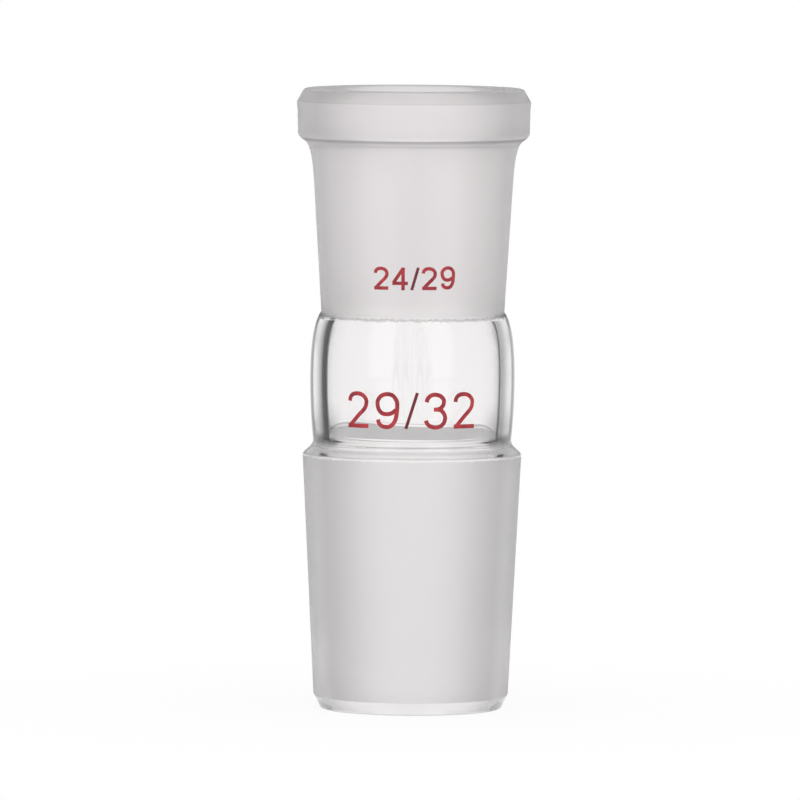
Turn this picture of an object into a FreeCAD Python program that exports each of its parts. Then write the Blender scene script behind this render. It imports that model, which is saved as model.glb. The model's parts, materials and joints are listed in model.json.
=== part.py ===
import FreeCAD, Part
import os

# A glass joint adapter, drawn and fused into one piece: a ground socket at the top, a clear
# barrel-shaped neck and a ground cone at the bottom, all on one axis. It stands on the tip of
# its cone, with the axis along +Z and the origin at the middle of the tip's foot.
# All sizes are in millimetres.

# Both ground joints widen upwards by 1 in 10, measured on the diameter.
JOINT_TAPER = 0.1

# Ground cone, size 29/32, that goes into the neck of a flask.
CONE_LARGE_DIAMETER = 29.2
CONE_GROUND_LENGTH = 32.0
CONE_WALL = 2.05
TIP_BEVEL_HEIGHT = 2.0
TIP_BEVEL_WIDTH = 0.95
TIP_EDGE_ROUNDING = 0.25

# Shoulder, where the end of the neck is fused onto the cone and steps in.
SHOULDER_HEIGHT = 2.1
SHOULDER_FACE_LOW = 0.2
SHOULDER_FACE_HIGH = 1.35
SHOULDER_ROUND_SHARE = 0.4
WAIST_DIAMETER = 26.5

# The same step on the inner side, where it is a longer slope that starts higher.
BORE_STEP_HEIGHT = 3.1
BORE_STEP_FACE_LOW = 0.4
BORE_STEP_FACE_HIGH = 2.6
BORE_STEP_ROUND_SHARE = 0.2

# Barrel neck, widest a little below its middle.
BARREL_DIAMETER = 27.3
BARREL_WALL = 1.6
BARREL_RISE = 8.1
BARREL_FALL = 8.8
BARREL_SHOULDER_DROP = 1.6

# Ground socket, size 24/29, that takes the cone of the vessel above.
SOCKET_LARGE_DIAMETER = 24.0
SOCKET_GROUND_LENGTH = 29.0
SOCKET_FOOT_WALL = 1.66
SOCKET_HEAD_WALL = 1.86
SOCKET_FLARE_HEIGHT = 4.6

# Thick rim around the socket's mouth.
RIM_WALL = 3.62
RIM_HEIGHT = 5.8
RIM_DRAFT = 0.06
RIM_UNDERSIDE_HEIGHT = 1.8
RIM_UNDERSIDE_ROUNDING = 0.6
RIM_LIP_HEIGHT = 1.0
RIM_LIP_WIDTH = 0.1
RIM_CHAMFER_HEIGHT = 1.8
RIM_CHAMFER_WIDTH = 1.0
RIM_EDGE_ROUNDING = 0.35
MOUTH_ROUNDING_HEIGHT = 0.8
MOUTH_ROUNDING_WIDTH = 0.35

# Heights of the stretches, stacked from the tip up.
cone_foot = TIP_BEVEL_HEIGHT
cone_head = cone_foot + CONE_GROUND_LENGTH
waist = cone_head + SHOULDER_HEIGHT
barrel = waist + BARREL_RISE
socket_foot = barrel + BARREL_FALL
socket_head = socket_foot + SOCKET_GROUND_LENGTH
rim_top = socket_head + MOUTH_ROUNDING_HEIGHT
rim_foot = rim_top - RIM_HEIGHT
flare_head = rim_foot - RIM_UNDERSIDE_HEIGHT
flare_foot = flare_head - SOCKET_FLARE_HEIGHT


def cone_radius(height):
    """Outer radius of the ground cone at a height."""
    return CONE_LARGE_DIAMETER / 2 - (cone_head - height) * JOINT_TAPER / 2


def bore_radius(height):
    """Radius of the ground bore in the socket at a height."""
    return SOCKET_LARGE_DIAMETER / 2 - (socket_head - height) * JOINT_TAPER / 2


def point(radius, height):
    """A point of the wall's section, at a radius from the axis."""
    return FreeCAD.Vector(radius, 0, height)


def between(first, second, share):
    """The point at a share of the way from the first point to the second."""
    return first + (second - first) * share


def edges_through(start, stretches):
    """The edges from start along the stretches. A stretch is its end alone, for a straight run,
    or a corner and its end, for a round run that leaves and arrives pointing at the corner."""
    edges = []
    here = start
    for stretch in stretches:
        if len(stretch) == 1:
            edges.append(Part.makeLine(here, stretch[0]))
        else:
            curve = Part.BezierCurve()
            curve.setPoles([here] + stretch)
            edges.append(curve.toShape())
        here = stretch[-1]
    return edges


def step_in(head_radius, waist_radius, waist_height, face_low, face_high, round_share):
    """The step from the cone's head in to the waist: a round run, a straight one and a round
    one. The heights are above the cone's head, and each round takes its share of the face."""
    low_corner = point(head_radius, cone_head + face_low)
    high_corner = point(waist_radius, cone_head + face_high)
    return [
        [point(head_radius, cone_head)],
        [low_corner, between(low_corner, high_corner, round_share)],
        [between(high_corner, low_corner, round_share)],
        [high_corner, point(waist_radius, cone_head + waist_height)],
    ]


def neck(waist_radius, barrel_radius, socket_radius, shoulder_drop):
    """The barrel from the waist, over its widest place, to the foot of the socket."""
    rise_corner = point(barrel_radius, (waist + barrel) / 2)
    fall_corner = point(barrel_radius, socket_foot - shoulder_drop)
    return [
        [rise_corner, point(barrel_radius, barrel)],
        [fall_corner, point(socket_radius, socket_foot)],
    ]


def rim(flare_corner):
    """The flare above the socket's straight side, then the rim's band, its slight lip and the
    chamfer on top."""
    lip_radius = SOCKET_LARGE_DIAMETER / 2 + RIM_WALL
    band_head_radius = lip_radius - RIM_LIP_WIDTH
    band_foot_radius = band_head_radius - RIM_DRAFT
    underside_corner = point(band_foot_radius, rim_foot - RIM_UNDERSIDE_ROUNDING)
    chamfer_foot = point(lip_radius, rim_top - RIM_CHAMFER_HEIGHT)
    band_head = point(band_head_radius, chamfer_foot.z - RIM_LIP_HEIGHT)
    chamfer_head = point(lip_radius - RIM_CHAMFER_WIDTH, rim_top)
    rounded_share = RIM_EDGE_ROUNDING / RIM_CHAMFER_HEIGHT
    return [
        [flare_corner, between(flare_corner, underside_corner, 0.5)],
        [underside_corner, point(band_foot_radius, rim_foot)],
        [band_head],
        [chamfer_foot],
        [between(chamfer_head, chamfer_foot, rounded_share)],
        [chamfer_head, chamfer_head - point(RIM_EDGE_ROUNDING, 0)],
    ]


def outside():
    """The outer side of the wall, from the foot ring up to the flat ring at the top."""
    bevel_head = point(cone_radius(cone_foot), cone_foot)
    bevel_foot = point(cone_radius(cone_foot) - TIP_BEVEL_WIDTH, 0)
    rounded_share = TIP_EDGE_ROUNDING / TIP_BEVEL_HEIGHT
    waist_radius = WAIST_DIAMETER / 2
    side_foot = point(bore_radius(socket_foot) + SOCKET_FOOT_WALL, socket_foot)
    side_head = point(bore_radius(flare_foot) + SOCKET_HEAD_WALL, flare_foot)
    flare_share = (flare_head - socket_foot) / (flare_foot - socket_foot)
    stretches = [
        [bevel_foot, between(bevel_foot, bevel_head, rounded_share)],
        [bevel_head],
    ]
    stretches += step_in(
        cone_radius(cone_head),
        waist_radius,
        SHOULDER_HEIGHT,
        SHOULDER_FACE_LOW,
        SHOULDER_FACE_HIGH,
        SHOULDER_ROUND_SHARE,
    )
    stretches += neck(waist_radius, BARREL_DIAMETER / 2, side_foot.x, BARREL_SHOULDER_DROP)
    stretches.append([side_head])
    stretches += rim(between(side_foot, side_head, flare_share))
    return bevel_foot - point(TIP_EDGE_ROUNDING, 0), stretches


def inside():
    """The inner side of the wall, from the foot ring up to the flat ring at the top."""
    foot_corner = point(cone_radius(0) - CONE_WALL, 0)
    cone_bore_head = point(cone_radius(cone_head) - CONE_WALL, cone_head)
    rounded_share = TIP_EDGE_ROUNDING / cone_head
    waist_radius = WAIST_DIAMETER / 2 - BARREL_WALL
    barrel_radius = BARREL_DIAMETER / 2 - BARREL_WALL
    shoulder_drop = BARREL_SHOULDER_DROP + BARREL_WALL / 2
    mouth_corner = point(bore_radius(rim_top), rim_top)
    stretches = [[foot_corner, between(foot_corner, cone_bore_head, rounded_share)]]
    stretches += step_in(
        cone_bore_head.x,
        waist_radius,
        BORE_STEP_HEIGHT,
        BORE_STEP_FACE_LOW,
        BORE_STEP_FACE_HIGH,
        BORE_STEP_ROUND_SHARE,
    )
    stretches += neck(waist_radius, barrel_radius, bore_radius(socket_foot), shoulder_drop)
    stretches.append([point(bore_radius(socket_head), socket_head)])
    stretches.append([mouth_corner, mouth_corner + point(MOUTH_ROUNDING_WIDTH, 0)])
    return foot_corner + point(TIP_EDGE_ROUNDING, 0), stretches


def wall_section():
    """The section of the glass wall on one side of the axis, as one face."""
    outer_start, outer_stretches = outside()
    inner_start, inner_stretches = inside()
    foot_ring = Part.makeLine(inner_start, outer_start)
    top_ring = Part.makeLine(outer_stretches[-1][-1], inner_stretches[-1][-1])
    outer_edges = edges_through(outer_start, outer_stretches)
    inner_edges = edges_through(inner_start, inner_stretches)
    return Part.Face(Part.Wire([foot_ring] + outer_edges + [top_ring] + inner_edges[::-1]))


axis_foot = FreeCAD.Vector(0, 0, 0)
axis_direction = FreeCAD.Vector(0, 0, 1)
adapter_body = wall_section().revolve(axis_foot, axis_direction, 360)

os.makedirs("parts", exist_ok=True)
adapter_body.exportStep("parts/adapter_body.step")
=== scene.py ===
import json
import math

import bmesh
import bpy
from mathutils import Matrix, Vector


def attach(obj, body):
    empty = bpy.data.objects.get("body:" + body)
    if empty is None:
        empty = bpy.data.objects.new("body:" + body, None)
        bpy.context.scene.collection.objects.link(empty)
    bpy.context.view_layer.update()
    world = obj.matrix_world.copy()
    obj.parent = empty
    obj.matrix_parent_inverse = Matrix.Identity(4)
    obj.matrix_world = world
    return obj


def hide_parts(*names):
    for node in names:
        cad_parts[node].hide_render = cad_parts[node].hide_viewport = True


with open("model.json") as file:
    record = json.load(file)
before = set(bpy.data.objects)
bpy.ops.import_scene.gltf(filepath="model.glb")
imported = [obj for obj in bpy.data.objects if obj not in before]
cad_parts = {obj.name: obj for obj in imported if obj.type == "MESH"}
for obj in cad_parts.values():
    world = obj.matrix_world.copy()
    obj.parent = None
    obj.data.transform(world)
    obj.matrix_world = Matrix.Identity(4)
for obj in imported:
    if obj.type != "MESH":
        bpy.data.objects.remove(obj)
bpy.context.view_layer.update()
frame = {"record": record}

# Glass body
# One piece of clear borosilicate glass: a socket, a barrel neck and a cone, each drawn from
# tube and fused end to end over a flame. The cone's outside and the socket are ground with
# grit to a white frost, and the neck, the shoulder and the bevelled tip stay clear.
mounts = {mount["name"]: mount for mount in frame["record"]["mounts"]}
joint_slope = 0.05
cone_head = mounts["cone_joint"]["pos_m"][2]
cone_foot = cone_head - mounts["cone_joint"]["dims"]["length_mm"] / 1000
cone_head_radius = mounts["cone_joint"]["dims"]["r_mm"] / 1000
cone_wall = 0.00205
tip_bevel = 0.00095
tip_rounding = 0.00025
waist = cone_head + 0.0021
waist_radius = 0.01325
shoulder_face_low = 0.0002
shoulder_face_high = 0.00135
shoulder_round_share = 0.4
bore_waist = cone_head + 0.0031
bore_face_low = 0.0004
bore_face_high = 0.0026
bore_round_share = 0.2
barrel = waist + 0.0081
barrel_radius = 0.01365
barrel_wall = 0.0016
barrel_drop = 0.0016
socket_head = mounts["socket_joint"]["pos_m"][2]
socket_foot = socket_head - mounts["socket_joint"]["dims"]["length_mm"] / 1000
socket_head_radius = mounts["socket_joint"]["dims"]["r_mm"] / 1000
socket_foot_wall = 0.00166
socket_head_wall = 0.00186
rim_top = mounts["rim_face"]["pos_m"][2]
rim_foot = rim_top - 0.0058
rim_radius = socket_head_radius + 0.00362
rim_draft = 0.00006
rim_lip_height = 0.0010
rim_lip_width = 0.0001
rim_underside_rounding = 0.0006
rim_chamfer_height = 0.0018
rim_chamfer_width = 0.0010
rim_edge_rounding = 0.00035
mouth_rounding = 0.00035
flare_head = rim_foot - 0.0018
flare_foot = flare_head - 0.0046
ring_segments = 256
straight_spacing = 0.002
round_spacing = 0.00045
seam_spacing = 0.00014
round_stations = 8
# Flaws of the fused seam in the bore: fine ripples, most of all in front, a bead along the
# crease at the back, and a lift at each side of the back.
seam_ripple = 0.000006
seam_ripple_pitch = 0.0007
seam_ripple_tilt = 1.1
seam_ripple_wander = 0.5
seam_ripple_height = cone_head + 0.0011
seam_ripple_reach = 0.0014
seam_bead = 0.00008
seam_bead_height = cone_head + 0.0033
seam_bead_reach = 0.00018
seam_lift_height = cone_head + 0.0025
seam_lift_reach = 0.0030
left_lift = 0.0010
left_lift_turn = math.radians(142)
left_lift_spread = math.radians(32)
right_lift = 0.0008
right_lift_turn = math.radians(35)
right_lift_spread = math.radians(20)
# The bore's sides begin this share of the radius off the middle, and come in softly.
side_from = 0.5
side_fade = 0.25
side_back_fade = 0.3
# Heights above the cone's head, in millimetres, before and after the fused seam was worked:
# on the front, the back and the back sides of the bore, and on the back of the outside.
bore_front_moves = [
    (-3, -3), (0, 0.5), (0.84, 1.45), (2.16, 2.15), (2.34, 2.234), (2.49, 2.291), (2.71, 2.347),
    (2.9, 2.375), (3.1, 2.39), (7, 7)
]
bore_back_moves = [
    (-3, -3), (0, 0), (2.16, 2.35), (2.34, 2.51), (2.49, 2.615), (2.71, 2.72), (2.9, 2.772),
    (3.1, 2.80), (7, 7)
]
bore_side_moves = [(-3, -3), (0, -1.4), (2.16, 2.2), (3.1, 2.85), (7, 7)]
outside_back_moves = [(-3, -3), (-1, -1.1), (0, -0.6), (2.1, 1.15), (7, 7)]


def cone_outer(height):
    """Outer radius of the ground cone at a height."""
    return cone_head_radius - (cone_head - height) * joint_slope


def socket_bore(height):
    """Radius of the ground bore in the socket at a height."""
    return socket_head_radius - (socket_head - height) * joint_slope


def walk_outline(start, runs):
    """Stations along the runs. A run is its end alone, if it is straight, or a corner and its
    end, if it is a round that leaves and arrives pointing at the corner."""
    stations = [start]
    here = start
    for run in runs:
        end = run[-1]
        is_round = len(run) == 2
        corner = run[0] if is_round else here.lerp(end, 0.5)
        spacing = round_spacing if is_round else straight_spacing
        if cone_head <= here.y <= bore_waist:
            spacing = seam_spacing
        count = math.ceil((end - here).length / spacing)
        if is_round:
            count = max(round_stations, count)
        for step in range(1, count + 1):
            share = step / count
            stations.append(here.lerp(corner, share).lerp(corner.lerp(end, share), share))
        here = end
    return stations


def step_in(head_radius, narrow_radius, narrow_height, face_low, face_high, round_share):
    """The step from the cone in to the waist: a round, a straight face and another round."""
    low_corner = Vector((head_radius, cone_head + face_low))
    high_corner = Vector((narrow_radius, cone_head + face_high))
    return [
        [Vector((head_radius, cone_head))],
        [low_corner, low_corner.lerp(high_corner, round_share)],
        [high_corner.lerp(low_corner, round_share)],
        [high_corner, Vector((narrow_radius, narrow_height))],
    ]


def neck_runs(wide_radius, socket_radius, drop):
    """The barrel from the waist over its widest place to the foot of the socket."""
    return [
        [Vector((wide_radius, (waist + barrel) / 2)), Vector((wide_radius, barrel))],
        [Vector((wide_radius, socket_foot - drop)), Vector((socket_radius, socket_foot))],
    ]


tip_bevel_head = Vector((cone_outer(cone_foot), cone_foot))
tip_bevel_foot = Vector((cone_outer(cone_foot) - tip_bevel, 0))
side_foot = Vector((socket_bore(socket_foot) + socket_foot_wall, socket_foot))
side_head = Vector((socket_bore(flare_foot) + socket_head_wall, flare_foot))
flare_share = (flare_head - socket_foot) / (flare_foot - socket_foot)
flare_corner = side_foot + (side_head - side_foot) * flare_share
band_radius = rim_radius - rim_lip_width
underside_corner = Vector((band_radius - rim_draft, rim_foot - rim_underside_rounding))
chamfer_foot = Vector((rim_radius, rim_top - rim_chamfer_height))
chamfer_head = Vector((rim_radius - rim_chamfer_width, rim_top))
outer_runs = [
    [tip_bevel_foot, tip_bevel_foot.lerp(tip_bevel_head, tip_rounding / cone_foot)],
    [tip_bevel_head],
]
outer_runs += step_in(
    cone_head_radius, waist_radius, waist, shoulder_face_low, shoulder_face_high, shoulder_round_share
)
outer_runs += neck_runs(barrel_radius, side_foot.x, barrel_drop)
outer_runs += [
    [side_head],
    [flare_corner, flare_corner.lerp(underside_corner, 0.5)],
    [underside_corner, Vector((band_radius - rim_draft, rim_foot))],
    [Vector((band_radius, chamfer_foot.y - rim_lip_height))],
    [chamfer_foot],
    [chamfer_head.lerp(chamfer_foot, rim_edge_rounding / rim_chamfer_height)],
    [chamfer_head, chamfer_head - Vector((rim_edge_rounding, 0))],
]
outer_side = walk_outline(tip_bevel_foot - Vector((tip_rounding, 0)), outer_runs)

bore_foot = Vector((cone_outer(0) - cone_wall, 0))
bore_head = Vector((cone_head_radius - cone_wall, cone_head))
mouth_corner = Vector((socket_bore(rim_top), rim_top))
inner_runs = [[bore_foot, bore_foot.lerp(bore_head, tip_rounding / cone_head)]]
inner_runs += step_in(
    bore_head.x, waist_radius - barrel_wall, bore_waist, bore_face_low, bore_face_high, bore_round_share
)
inner_runs += neck_runs(
    barrel_radius - barrel_wall, socket_bore(socket_foot), barrel_drop + barrel_wall / 2
)
inner_runs += [
    [Vector((socket_bore(socket_head), socket_head))],
    [mouth_corner, mouth_corner + Vector((mouth_rounding, 0))],
]
inner_side = walk_outline(bore_foot + Vector((tip_rounding, 0)), inner_runs)


def seam_share(height, middle, reach):
    """How much of a flaw of the fused seam there is at a height, from 0 to 1."""
    return max(0.0, 1 - ((height - middle) / reach) ** 2) ** 2


def worked(height, moves):
    """A height after the seam was worked, by straight steps between the pairs of heights."""
    above = (height - cone_head) * 1000
    for (low, low_after), (high, high_after) in zip(moves, moves[1:]):
        if low <= above <= high:
            after = low_after + (high_after - low_after) * (above - low) / (high - low)
            return cone_head + after / 1000
    return height


wall_section = [(station, 0) for station in outer_side]
wall_section += [(station, 1) for station in inner_side[::-1]]
lathe = bmesh.new()
rings = []
for (station_radius, station_height), on_bore in wall_section:
    if on_bore:
        front_shift = worked(station_height, bore_front_moves) - station_height
        back_shift = worked(station_height, bore_back_moves) - station_height
        side_shift = worked(station_height, bore_side_moves) - station_height
    else:
        front_shift = 0
        back_shift = worked(station_height, outside_back_moves) - station_height
        side_shift = 0
    lifted = on_bore * seam_share(station_height, seam_lift_height, seam_lift_reach)
    rippled = on_bore * seam_share(station_height, seam_ripple_height, seam_ripple_reach)
    ring = []
    for segment in range(ring_segments):
        turn = 2 * math.pi * segment / ring_segments
        front = 0.5 - 0.5 * math.sin(turn)
        back = max(0, math.sin(turn))
        lift = left_lift * math.exp(-((turn - left_lift_turn) / left_lift_spread) ** 2)
        lift += right_lift * math.exp(-((turn - right_lift_turn) / right_lift_spread) ** 2)
        aside = (abs(math.cos(turn)) - side_from) / side_fade
        side = on_bore * max(0, min(1, aside, math.sin(turn) / side_back_fade))
        ring_height = station_height + front_shift * max(0, -math.sin(turn)) + lifted * lift
        ring_height += back_shift * back * (1 - side) + side_shift * side
        above_bead = ring_height - seam_bead_height - lifted * lift
        bead = on_bore * back * seam_bead * math.exp(-(above_bead / seam_bead_reach) ** 2)
        wave = 2 * math.pi * station_height / seam_ripple_pitch
        wave += seam_ripple_tilt * math.sin(turn) + seam_ripple_wander * math.sin(3 * turn)
        ripple = rippled * seam_ripple * front * math.sin(wave)
        across = Vector((math.cos(turn), math.sin(turn), 0))
        spot = across * (station_radius + ripple - bead) + Vector((0, 0, ring_height))
        ring.append(lathe.verts.new(spot))
    rings.append(ring)
for low_ring, high_ring in zip(rings, rings[1:] + rings[:1]):
    for segment in range(ring_segments):
        after = (segment + 1) % ring_segments
        lathe.faces.new((low_ring[segment], low_ring[after], high_ring[after], high_ring[segment]))
for face in lathe.faces:
    face.smooth = True
body_mesh = bpy.data.meshes.new("adapter_glass")
lathe.to_mesh(body_mesh)
lathe.free()
glass_body = bpy.data.objects.new("adapter_glass", body_mesh)
bpy.context.collection.objects.link(glass_body)
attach(glass_body, "root")
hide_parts("adapter_body")

glass = bpy.data.materials.new("ground_and_clear_glass")
glass.use_nodes = True
nodes = glass.node_tree.nodes
links = glass.node_tree.links
shader = nodes["Principled BSDF"]
shader.inputs["Transmission Weight"].default_value = 1.0
shader.inputs["IOR"].default_value = 1.47


def feed(socket, value):
    """Links another node's socket to an input, or sets the input to a plain value."""
    if isinstance(value, bpy.types.NodeSocket):
        links.new(value, socket)
    else:
        socket.default_value = value


def math_node(operation, *values):
    """A Math node fed by sockets or plain numbers, as its output socket."""
    node = nodes.new("ShaderNodeMath")
    node.operation = operation
    for socket, value in zip(node.inputs, values):
        feed(socket, value)
    return node.outputs[0]


def map_range(value, low, high, low_result=0.0, high_result=1.0):
    """A clamped Map Range node from one socket, as its output socket."""
    node = nodes.new("ShaderNodeMapRange")
    links.new(value, node.inputs["Value"])
    node.inputs["From Min"].default_value = low
    node.inputs["From Max"].default_value = high
    node.inputs["To Min"].default_value = low_result
    node.inputs["To Max"].default_value = high_result
    return node.outputs["Result"]


def stretched_noise(scale, detail, stretch=(1, 1, 1)):
    """A Noise Texture over the object's own axes, finer along an axis that is stretched."""
    mapping = nodes.new("ShaderNodeMapping")
    mapping.inputs["Scale"].default_value = stretch
    links.new(place.outputs["Object"], mapping.inputs["Vector"])
    noise = nodes.new("ShaderNodeTexNoise")
    noise.inputs["Scale"].default_value = scale
    noise.inputs["Detail"].default_value = detail
    links.new(mapping.outputs["Vector"], noise.inputs["Vector"])
    return noise.outputs["Fac"]


def tone_ramp(value, tint, stops):
    """A Color Ramp of greys with a tint over a value, from pairs of place and grey."""
    ramp = nodes.new("ShaderNodeValToRGB")
    links.new(value, ramp.inputs["Fac"])
    for index, (position, tone) in enumerate(stops):
        elements = ramp.color_ramp.elements
        stop = elements[index] if index < 2 else elements.new(position)
        stop.position = position
        stop.color = (tone * tint[0], tone * tint[1], tone * tint[2], 1)
    return ramp.outputs["Color"]


def clear_ramp(value, *stops):
    """Greys with the least trace of red, as in clear glass."""
    return tone_ramp(value, (1, 0.995, 0.995), stops)


def frost_ramp(value, *stops):
    """Greys with a trace more red, as in ground glass."""
    return tone_ramp(value, (1, 0.984, 0.988), stops)


# Where a Mix node keeps what belongs to colours, among its inputs and outputs of all kinds.
mix_share = 0
mix_first = 6
mix_second = 7
mix_result = 2


def mix_colors(share, first, second, blend_type="MIX"):
    """A Mix node between two colours, as its output socket."""
    node = nodes.new("ShaderNodeMix")
    node.data_type = "RGBA"
    node.blend_type = blend_type
    feed(node.inputs[mix_share], share)
    feed(node.inputs[mix_first], first)
    feed(node.inputs[mix_second], second)
    return node.outputs[mix_result]


def shade_color(color, shade):
    """A Mix node that multiplies a colour by a shade, as its output socket."""
    return mix_colors(1.0, color, shade, "MULTIPLY")


place = nodes.new("ShaderNodeTexCoord")
split = nodes.new("ShaderNodeSeparateXYZ")
links.new(place.outputs["Object"], split.inputs["Vector"])
height = split.outputs["Z"]
flat_place = nodes.new("ShaderNodeVectorMath")
flat_place.operation = "MULTIPLY"
flat_place.inputs[1].default_value = (1, 1, 0)
links.new(place.outputs["Object"], flat_place.inputs[0])
from_axis = nodes.new("ShaderNodeVectorMath")
from_axis.operation = "LENGTH"
links.new(flat_place.outputs["Vector"], from_axis.inputs[0])
radius = from_axis.outputs["Value"]

# Distances from the axis that lie within the wall, between its outside and its bore. For the
# cone, the distance is taken as if its outside stood upright.
within_cone_wall = 0.0115
within_neck_wall = 0.0127
within_socket_wall = 0.0115
upright_radius = math_node("MULTIPLY_ADD", height, -joint_slope, radius)
outside_of_cone = math_node("GREATER_THAN", upright_radius, within_cone_wall)
outside = math_node("GREATER_THAN", radius, within_neck_wall)
in_bore = math_node("LESS_THAN", radius, within_neck_wall)

# Where the glass is ground: the frost has a ragged edge, where the grinding ran out.
shoulder_raggedness = 0.0005
tip_raggedness = 0.00015
socket_raggedness = 0.0006
ragged_share = math_node("SUBTRACT", stretched_noise(1600, 4), 0.5)
shoulder_edge_height = math_node("MULTIPLY_ADD", ragged_share, shoulder_raggedness, height)
tip_edge_height = math_node("MULTIPLY_ADD", ragged_share, tip_raggedness, height)
above_tip = map_range(tip_edge_height, cone_foot - 0.00034, cone_foot - 0.00018)
below_shoulder = map_range(shoulder_edge_height, cone_head, cone_head - 0.0002)
cone_frost = math_node("MULTIPLY", outside_of_cone, math_node("MULTIPLY", above_tip, below_shoulder))
frost_foot = socket_foot - 0.0005
socket_edge_height = math_node("MULTIPLY_ADD", ragged_share, socket_raggedness, height)
socket_frost = map_range(socket_edge_height, frost_foot - 0.0001, frost_foot + 0.0001)
frost = math_node("MAXIMUM", cone_frost, socket_frost)

# The tone of the clear glass as its surface turns from the eye: painted shade darkens the neck along the
# edge of its bore and along its own edge, and not the same on the left and the right.
facing = nodes.new("ShaderNodeLayerWeight").outputs["Facing"]
right_side = map_range(split.outputs["X"], -0.004, 0.004)
left_bore = clear_ramp(
    facing, (0, 0.953), (0.35, 0.92), (0.50, 0.84), (0.56, 0.76), (0.60, 0.64), (0.645, 0.50),
    (0.668, 0.03), (1, 0.0)
)
right_bore = clear_ramp(facing, (0, 0.953), (0.35, 0.92), (0.60, 0.82), (0.74, 0.64), (1, 0.5))
left_outside = clear_ramp(
    facing, (0, 0.953), (0.436, 0.90), (0.458, 0.05), (0.467, 0.014), (0.532, 0.012), (0.548, 0.09),
    (0.567, 0.15), (0.588, 0.25), (0.61, 0.37), (0.635, 0.52), (0.66, 0.63), (0.69, 0.72),
    (0.735, 0.75), (0.762, 0.15), (0.785, 0.006), (1, 0.006)
)
right_outside = clear_ramp(
    facing, (0, 0.953), (0.34, 0.92), (0.38, 0.88), (0.416, 0.72), (0.44, 0.62), (0.462, 0.30),
    (0.474, 0.012), (0.486, 0.02), (0.502, 0.26), (0.522, 0.22), (0.54, 0.19), (0.56, 0.22),
    (0.58, 0.30), (0.602, 0.43), (0.626, 0.53), (0.651, 0.62), (0.709, 0.74), (0.728, 0.68),
    (0.748, 0.36), (0.775, 0.03), (1, 0.03)
)
bore_tone = mix_colors(right_side, left_bore, right_bore)
outside_tone = mix_colors(right_side, left_outside, right_outside)
# Where the line of sight goes in low on the neck's sides, the outside gets a painted darker shade.
crossed_from_within = nodes.new("ShaderNodeNewGeometry").outputs["Backfacing"]
crossed_from_air = math_node("SUBTRACT", 1.0, crossed_from_within)
entered = math_node("MULTIPLY", outside, crossed_from_air)
side_shade_foot = 0.0385
side_shade_head = 0.0415
low_on_neck = map_range(height, side_shade_head, side_shade_foot)
lowest_sides = math_node("MULTIPLY", low_on_neck, map_range(facing, 0.27, 0.38))
side_shade = clear_ramp(math_node("MULTIPLY", lowest_sides, entered), (0, 1.0), (1, 0.5))
neck_tone = mix_colors(outside, bore_tone, shade_color(outside_tone, side_shade))
on_neck = map_range(height, waist - 0.0003, waist + 0.0002)
# Painted shade: the tip's bevel darkens towards its sides, and its rounded foot is dark all round.
foot_tone = clear_ramp(map_range(height, 0.00005, tip_rounding), (0, 0.45), (1, 1.0))
bevel_tone = clear_ramp(
    facing, (0, 1.0), (0.18, 1.0), (0.288, 0.858), (0.376, 0.65), (0.476, 0.42), (0.584, 0.36), (1, 0.36)
)
on_bevel = math_node("MULTIPLY", outside_of_cone, math_node("GREATER_THAN", height, tip_rounding))
tip_tone = mix_colors(on_bevel, foot_tone, bevel_tone)
# The shoulder's fused glass gets painted shade: faint bands running round it, a dark spot at each side in
# front, and a darkening as its surface turns from the eye.
wander = math_node("SUBTRACT", stretched_noise(130, 2, (1, 1, 0.2)), 0.5)
wavy_height = math_node("MULTIPLY_ADD", wander, 0.0003, height)
shoulder_shade_bands = clear_ramp(
    map_range(wavy_height, cone_head - 0.0003, waist + 0.0003), (0, 1.0), (0.14, 1.0), (0.18, 0.62),
    (0.23, 0.62), (0.26, 0.97), (0.35, 0.97), (0.42, 0.72), (0.48, 0.67), (0.56, 0.78),
    (0.66, 0.93), (1, 1.0)
)
shoulder_turn = clear_ramp(
    facing, (0, 0.953), (0.30, 0.93), (0.447, 0.72), (0.6, 0.58), (0.8, 0.58), (1, 0.7)
)
# A dark spot of painted shade at each side in front of the shoulder.
spot_from = 0.0108
spot_to = 0.0126
from_middle = math_node("ABSOLUTE", split.outputs["X"])
spot_begun = map_range(from_middle, spot_from, spot_from + 0.0006)
spot_across = math_node("MULTIPLY", spot_begun, map_range(from_middle, spot_to, spot_to - 0.0005))
spot_head = map_range(height, cone_head + 0.0008, cone_head + 0.0005)
spot_up = math_node("MULTIPLY", map_range(height, cone_head + 0.0001, cone_head + 0.0003), spot_head)
spot_noise = map_range(stretched_noise(1100, 2), 0.36, 0.44)
in_front = math_node("LESS_THAN", split.outputs["Y"], 0.0)
spot_place = math_node("MULTIPLY", spot_across, spot_up)
shade_spot = math_node("MULTIPLY", spot_place, math_node("MULTIPLY", spot_noise, in_front))
spotted_shade_bands = shade_color(shoulder_shade_bands, clear_ramp(shade_spot, (0, 1.0), (1, 0.0)))
shoulder_shade = shade_color(shoulder_turn, spotted_shade_bands)
shoulder_bore_tone = clear_ramp(facing, (0, 0.953), (1, 0.90))
shoulder_tone = mix_colors(entered, shoulder_bore_tone, shoulder_shade)
on_shoulder = map_range(height, cone_head - 0.0015, cone_head - 0.0005)
low_tone = mix_colors(on_shoulder, tip_tone, shoulder_tone)
clear_tone = mix_colors(on_neck, low_tone, neck_tone)
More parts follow.
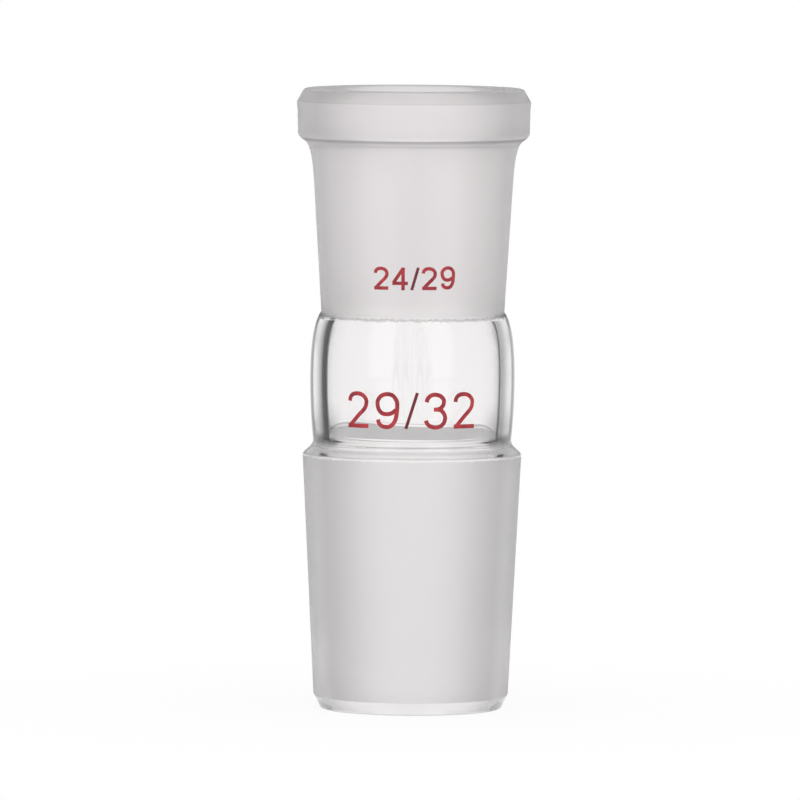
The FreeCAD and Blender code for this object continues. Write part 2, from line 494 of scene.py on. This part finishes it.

# The tone of the ground glass, which painted shade darkens as its surface turns from the eye: the cone has
# it where the line of sight goes in, and the socket wherever it crosses the wall.
cone_entering_tone = frost_ramp(
    facing, (0, 0.835), (0.045, 0.80), (0.11, 0.72), (0.17, 0.63), (0.23, 0.565), (0.32, 0.50),
    (0.41, 0.49), (0.56, 0.66), (0.80, 0.75), (1, 0.80)
)
cone_leaving_tone = frost_ramp(facing, (0, 1.0), (1, 1.0))
cone_tone = mix_colors(crossed_from_within, cone_entering_tone, cone_leaving_tone)
socket_tone = frost_ramp(
    facing, (0, 0.95), (0.04, 1.0), (0.11, 1.0), (0.165, 0.985), (0.236, 0.975), (0.327, 0.97),
    (0.45, 0.89), (0.6, 0.74), (1, 0.78)
)
rim_tone = frost_ramp(
    facing, (0, 1.0), (0.19, 1.0), (0.22, 0.96), (0.27, 0.89), (0.353, 0.765), (0.457, 0.67), (1, 0.66)
)
# Painted shade darkens the crease under the rim and the bevel above it.
rim_shade = clear_ramp(
    map_range(height, flare_head, rim_top), (0, 1.0), (0.07, 0.85), (0.11, 0.35), (0.14, 0.30),
    (0.152, 1.0), (0.77, 1.0), (0.79, 0.70), (0.815, 0.84), (1, 0.84)
)
on_rim = map_range(height, flare_head, rim_foot)
shaded_rim = shade_color(mix_colors(on_rim, socket_tone, rim_tone), rim_shade)
on_socket = map_range(height, socket_foot - 0.005, socket_foot - 0.003)
frost_tone = mix_colors(on_socket, cone_tone, shaded_rim)
# The frost of the socket ends in a fine grey line of painted shade, with a faint painted shade just above
# it.
frost_edge_shade = clear_ramp(
    map_range(socket_edge_height, frost_foot - 0.0004, frost_foot + 0.0012), (0, 1.0), (0.10, 0.95),
    (0.19, 0.48), (0.28, 0.40), (0.36, 0.66), (0.44, 0.90), (0.60, 0.95), (1, 1.0)
)
glass_tone = mix_colors(frost, clear_tone, frost_tone)
outside_of_socket = math_node("GREATER_THAN", radius, within_socket_wall)
on_line = math_node("MULTIPLY", outside_of_socket, crossed_from_air)
lined_tone = mix_colors(on_line, glass_tone, shade_color(glass_tone, frost_edge_shade))
links.new(lined_tone, shader.inputs["Base Color"])

# Frost is rough, most of all near the tip, with the fine scores of the grit running round it.
frost_roughness = 0.49
tip_roughness = 0.85
tip_roughness_head = 0.004
tip_roughness_end = 0.009
grit = map_range(stretched_noise(500, 3, (1, 1, 3)), 0.3, 0.7, -0.05, 0.05)
plain_roughness = map_range(height, tip_roughness_end, tip_roughness_head, frost_roughness, tip_roughness)
# The fused seam is hazy inside, to the left and right of the numbers.
seam_haze = 0.42
haze_from = 0.0088
haze_to = 0.0108
beside = map_range(from_middle, haze_from, haze_to)
above_seam_foot = map_range(height, cone_head + 0.0003, cone_head + 0.0009)
below_seam_head = map_range(height, bore_waist + 0.0002, bore_waist - 0.0004)
on_seam = math_node("MULTIPLY", in_bore, math_node("MULTIPLY", above_seam_foot, below_seam_head))
haze = math_node("MULTIPLY", beside, math_node("MULTIPLY", on_seam, seam_haze))
ground_roughness = math_node("ADD", grit, plain_roughness)
links.new(math_node("MULTIPLY_ADD", frost, ground_roughness, haze), shader.inputs["Roughness"])
scores = stretched_noise(260, 4, (1, 1, 22))
pits = stretched_noise(2600, 2)
frost_relief = math_node("MULTIPLY", frost, math_node("MULTIPLY_ADD", pits, 0.5, scores))
bump = nodes.new("ShaderNodeBump")
bump.inputs["Strength"].default_value = 0.25
bump.inputs["Distance"].default_value = 0.00002
links.new(frost_relief, bump.inputs["Height"])
links.new(bump.outputs["Normal"], shader.inputs["Normal"])
glass_body.data.materials.append(glass)

# Size numbers
# The two joint sizes, screened on in red enamel and fired: 24/29 on the socket and 29/32 on
# the neck. The enamel stands a few hundredths of a millimetre proud of the glass.
enamel_thickness = 0.00003
enamel_gap = 0.00001
stroke_lap = 0.000004
stroke_spacing = 0.00015
# The middle line of each stroke, in shares of the letter's width and height between the
# middles of its outermost strokes. A stroke with more than two points is curved.
letter_strokes = {
    "/": [[(0, -0.02), (1, 1.02)]],
    "2": [
        [(0, 0.76), (0.04, 0.87), (0.18, 0.965), (0.46, 1), (0.76, 0.955), (0.95, 0.83), (0.97, 0.70),
         (0.91, 0.58), (0.77, 0.47), (0.59, 0.365), (0.40, 0.245), (0.20, 0.115), (0.05, 0.01)],
        [(-0.09, 0), (1.09, 0)],
    ],
    "3": [
        [(0.03, 0.77), (0.09, 0.88), (0.25, 0.97), (0.49, 1), (0.75, 0.955), (0.91, 0.85), (0.93, 0.76),
         (0.87, 0.655), (0.72, 0.575), (0.55, 0.548), (0.40, 0.545)],
        [(0.60, 0.545), (0.74, 0.53), (0.87, 0.475), (0.97, 0.37), (1, 0.27), (0.93, 0.135), (0.75, 0.035),
         (0.49, 0), (0.22, 0.038), (0.06, 0.12), (0, 0.215)],
    ],
    "4": [
        [(0.75, 1.075), (0.75, -0.08)],
        [(-0.09, 0.27), (1.12, 0.27)],
        [(0.72, 1.0), (0, 0.30)],
    ],
    "9": [
        [(0.03, 0.225), (0.08, 0.115), (0.22, 0.032), (0.46, 0), (0.68, 0.035), (0.86, 0.16), (0.96, 0.36),
         (1, 0.66), (0.95, 0.82), (0.76, 0.96), (0.47, 1), (0.18, 0.94), (0.02, 0.81), (0, 0.68),
         (0.06, 0.54), (0.22, 0.425), (0.47, 0.39), (0.72, 0.425), (0.93, 0.52)],
    ],
}


def glass_radius(at_height):
    """Outer radius of the clear or ground glass at a height, from the lathed outline."""
    for low, high in zip(outer_side, outer_side[1:]):
        if low.y <= at_height <= high.y:
            return low.lerp(high, (at_height - low.y) / (high.y - low.y)).x
    return barrel_radius


def smooth_line(points):
    """Closely spaced points along a smooth line through the points given."""
    ends = [points[0] * 2 - points[1]] + points + [points[-1] * 2 - points[-2]]
    line = []
    for before, start, end, after in zip(ends, ends[1:], ends[2:], ends[3:]):
        count = math.ceil((end - start).length / stroke_spacing)
        for step in range(count):
            share = step / count
            bend = 2 * before - 5 * start + 4 * end - after
            twist = 3 * start - before - 3 * end + after
            line.append(start + ((end - before) * share + bend * share ** 2 + twist * share ** 3) / 2)
    return line + [points[-1]]


def print_number(name, stroke_width, slash_width, letters):
    """One line of enamel numbers. Each letter is a sign and its left, right, lowest and
    highest place in millimetres: along the glass from the middle of the print, and up."""
    printed = bmesh.new()
    for sign, left, right, low, high in letters:
        width = slash_width if sign == "/" else stroke_width
        for lap, shares in enumerate(letter_strokes[sign]):
            points = []
            for across, up in shares:
                along = left + width / 2 + (right - left - width) * across
                points.append(Vector((along, low + width / 2 + (high - low - width) * up)) / 1000)
            line = smooth_line(points)
            rings = []
            for index, middle in enumerate(line):
                ahead = (line[min(index + 1, len(line) - 1)] - line[max(index - 1, 0)]).normalized()
                aside = Vector((-ahead.y, ahead.x)) * width / 2000
                ring = []
                for offset, proud in ((aside, 0), (-aside, 0), (-aside, 1), (aside, 1)):
                    spot = middle + offset
                    foot = glass_radius(spot.y) + enamel_gap
                    level = foot + proud * (enamel_thickness - lap * stroke_lap)
                    turn = spot.x / foot
                    corner_place = (level * math.sin(turn), -level * math.cos(turn), spot.y)
                    ring.append(printed.verts.new(corner_place))
                rings.append(ring)
            for ring, next_ring in zip(rings, rings[1:]):
                for corner in range(4):
                    after = (corner + 1) % 4
                    printed.faces.new((ring[corner], ring[after], next_ring[after], next_ring[corner]))
            printed.faces.new(rings[0])
            printed.faces.new(rings[-1])
    bmesh.ops.recalc_face_normals(printed, faces=printed.faces[:])
    print_mesh = bpy.data.meshes.new(name)
    printed.to_mesh(print_mesh)
    printed.free()
    number = bpy.data.objects.new(name, print_mesh)
    bpy.context.collection.objects.link(number)
    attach(number, "root")
    return number


socket_number = print_number("socket_size_number", 0.46, 0.38, [
    ("2", -5.36, -3.24, 56.58, 59.65),
    ("4", -2.84, -0.67, 56.53, 59.61),
    ("/", -0.37, 0.87, 56.44, 59.70),
    ("2", 1.12, 3.21, 56.58, 59.65),
    ("9", 3.67, 5.74, 56.64, 59.74),
])
neck_number = print_number("neck_size_number", 0.56, 0.42, [
    ("2", -9.15, -5.95, 38.24, 43.10),
    ("9", -4.97, -1.72, 38.18, 43.12),
    ("/", -1.06, 0.87, 38.14, 43.16),
    ("3", 1.53, 4.70, 38.16, 43.08),
    ("2", 5.60, 8.80, 38.24, 43.10),
])

enamel = bpy.data.materials.new("fired_red_enamel")
enamel.use_nodes = True
nodes = enamel.node_tree.nodes
links = enamel.node_tree.links
shader = nodes["Principled BSDF"]
place = nodes.new("ShaderNodeTexCoord")
patches = nodes.new("ShaderNodeValToRGB")
patches.color_ramp.elements[0].position = 0.35
patches.color_ramp.elements[0].color = (0.25, 0.008, 0.018, 1)
patches.color_ramp.elements[1].position = 0.68
patches.color_ramp.elements[1].color = (0.50, 0.035, 0.045, 1)
links.new(stretched_noise(700, 3), patches.inputs["Fac"])
# The slash in each print took more ink and fired darker. Its left limit changes at a height
# between the two prints.
neck_slash_left = -0.0014
socket_slash_left = -0.0005
slash_right = 0.0010
above_neck_print = 0.045
below_socket_print = 0.050
slash_ink = 0.75
split = nodes.new("ShaderNodeSeparateXYZ")
links.new(place.outputs["Object"], split.inputs["Vector"])
slash_left = map_range(
    split.outputs["Z"], above_neck_print, below_socket_print, neck_slash_left, socket_slash_left
)
right_of_left = math_node("GREATER_THAN", split.outputs["X"], slash_left)
left_of_right = math_node("LESS_THAN", split.outputs["X"], slash_right)
on_slash = math_node("MULTIPLY", right_of_left, left_of_right)
dark_share = math_node("MULTIPLY", on_slash, slash_ink)
inked = mix_colors(dark_share, patches.outputs["Color"], (0.08, 0.003, 0.010, 1))
links.new(inked, shader.inputs["Base Color"])
links.new(map_range(stretched_noise(3000, 2), 0.3, 0.7, 0.35, 0.55), shader.inputs["Roughness"])
bump = nodes.new("ShaderNodeBump")
bump.inputs["Strength"].default_value = 0.3
bump.inputs["Distance"].default_value = 0.00001
links.new(stretched_noise(6000, 2), bump.inputs["Height"])
links.new(bump.outputs["Normal"], shader.inputs["Normal"])
socket_number.data.materials.append(enamel)
neck_number.data.materials.append(enamel)

# Floor, light and camera
# A plain white table in a white tent, whose wall is greyer just above the table's far edge.
# Two soft strip lamps stand in front and a broad soft lamp hangs overhead.
floor_mesh = bpy.data.meshes.new("white_table")
floor_mesh.from_pydata([(-6, -6, 0), (6, -6, 0), (6, 6, 0), (-6, 6, 0)], [], [(0, 1, 2, 3)])
floor = bpy.data.objects.new("white_table", floor_mesh)
bpy.context.collection.objects.link(floor)
table = bpy.data.materials.new("white_table")
table.use_nodes = True
nodes = table.node_tree.nodes
links = table.node_tree.links
shader = nodes["Principled BSDF"]
shader.inputs["Base Color"].default_value = (0.8, 0.8, 0.8, 1)
shader.inputs["Roughness"].default_value = 0.9
white_glow = nodes.new("ShaderNodeEmission")
# The table glows white to the camera, but less around the foot, where a shadow shows. Seen in or through
# the glass, it glows too, apart from a ring further out, where the glow is held back to paint a ring of
# shade.
shadow_foot = 0.015
shadow_end = 0.08
shadow_glow = 0.91
ring_reach = 0.30


def seen_by_glass(light_path):
    """Whether a ray comes from the glass, mirrored or let through."""
    return math_node(
        "MAXIMUM", light_path.outputs["Is Glossy Ray"], light_path.outputs["Is Transmission Ray"]
    )


light_path = nodes.new("ShaderNodeLightPath")
place = nodes.new("ShaderNodeTexCoord")
from_foot = nodes.new("ShaderNodeVectorMath")
from_foot.operation = "LENGTH"
links.new(place.outputs["Object"], from_foot.inputs[0])
distance = from_foot.outputs["Value"]
plain_glow = map_range(distance, shadow_foot, shadow_end, shadow_glow, 1.0)
camera_share = math_node("MULTIPLY", light_path.outputs["Is Camera Ray"], plain_glow)
ringed_glow = clear_ramp(
    map_range(distance, 0, ring_reach), (0, 1.0), (0.143, 1.0), (0.157, 0), (0.21, 0), (0.27, 0.7),
    (1, 1.0)
)
glass_share = math_node("MULTIPLY", seen_by_glass(light_path), ringed_glow)
blend = nodes.new("ShaderNodeMixShader")
links.new(math_node("MAXIMUM", camera_share, glass_share), blend.inputs["Fac"])
links.new(shader.outputs["BSDF"], blend.inputs[1])
links.new(white_glow.outputs["Emission"], blend.inputs[2])
links.new(blend.outputs["Shader"], nodes["Material Output"].inputs["Surface"])
floor.data.materials.append(table)

world = bpy.data.worlds.new("white_tent")
bpy.context.scene.world = world
world.use_nodes = True
nodes = world.node_tree.nodes
links = world.node_tree.links
# The camera sees the tent plain white and the glass sees its wall, with the greyer panel. All
# else is lit by a plain level.
white_wall = 0.97
grey_panel = 0.53
plain_level = 0.7
panel_side = 0.22
panel_side_end = 0.40
light_path = nodes.new("ShaderNodeLightPath")
sky = nodes.new("ShaderNodeTexCoord")
split = nodes.new("ShaderNodeSeparateXYZ")
links.new(sky.outputs["Generated"], split.inputs["Vector"])
panel = clear_ramp(
    split.outputs["Z"], (0, white_wall), (0.03, grey_panel), (0.17, grey_panel), (0.225, white_wall),
    (1, white_wall)
)
off_middle = map_range(math_node("ABSOLUTE", split.outputs["X"]), panel_side, panel_side_end)
in_front = map_range(split.outputs["Y"], 0.1, 0.0)
plain_wall = math_node("MULTIPLY", math_node("MAXIMUM", off_middle, in_front), white_wall)
tent_wall = math_node("MAXIMUM", panel, plain_wall)
off_plain = math_node("SUBTRACT", tent_wall, plain_level)
seen_strength = math_node("MULTIPLY_ADD", seen_by_glass(light_path), off_plain, plain_level)
strength = math_node("MAXIMUM", light_path.outputs["Is Camera Ray"], seen_strength)
nodes["Background"].inputs["Color"].default_value = (1, 1, 1, 1)
links.new(strength, nodes["Background"].inputs["Strength"])


lamp_aim = Vector((0, 0, 0.04))


def soft_lamp(name, spot, width, length, watts):
    """A soft rectangular lamp that points at the adapter."""
    lamp = bpy.data.lights.new(name, "AREA")
    lamp.shape = "RECTANGLE"
    lamp.size = width
    lamp.size_y = length
    lamp.energy = watts
    lamp_object = bpy.data.objects.new(name, lamp)
    lamp_object.location = spot
    lamp_object.rotation_euler = (lamp_aim - Vector(spot)).to_track_quat("-Z", "Y").to_euler()
    bpy.context.collection.objects.link(lamp_object)


soft_lamp("left_strip_lamp", (-0.55, -0.72, 0.45), width=0.55, length=1.2, watts=1.3)
soft_lamp("right_strip_lamp", (0.50, -0.76, 0.45), width=0.55, length=1.2, watts=1.3)
soft_lamp("overhead_lamp", (0, -0.3, 0.9), width=1.2, length=0.8, watts=3.0)

camera_data = bpy.data.cameras.new("product_camera")
camera_data.sensor_width = 36.0
camera_data.lens = 471.0
camera_data.clip_start = 0.1
camera_data.clip_end = 20
camera = bpy.data.objects.new("product_camera", camera_data)
camera_place = Vector((-0.00164, -1.394, 0.133))
camera_aim = Vector((-0.00164, 0, 0.0412))
camera.location = camera_place
camera_roll = math.radians(0.34)
camera_turn = (camera_aim - camera_place).to_track_quat("-Z", "Y").to_euler()
camera_turn.rotate_axis("Z", camera_roll)
camera.rotation_euler = camera_turn
bpy.context.collection.objects.link(camera)
bpy.context.scene.camera = camera

bpy.context.scene.view_settings.view_transform = "Standard"
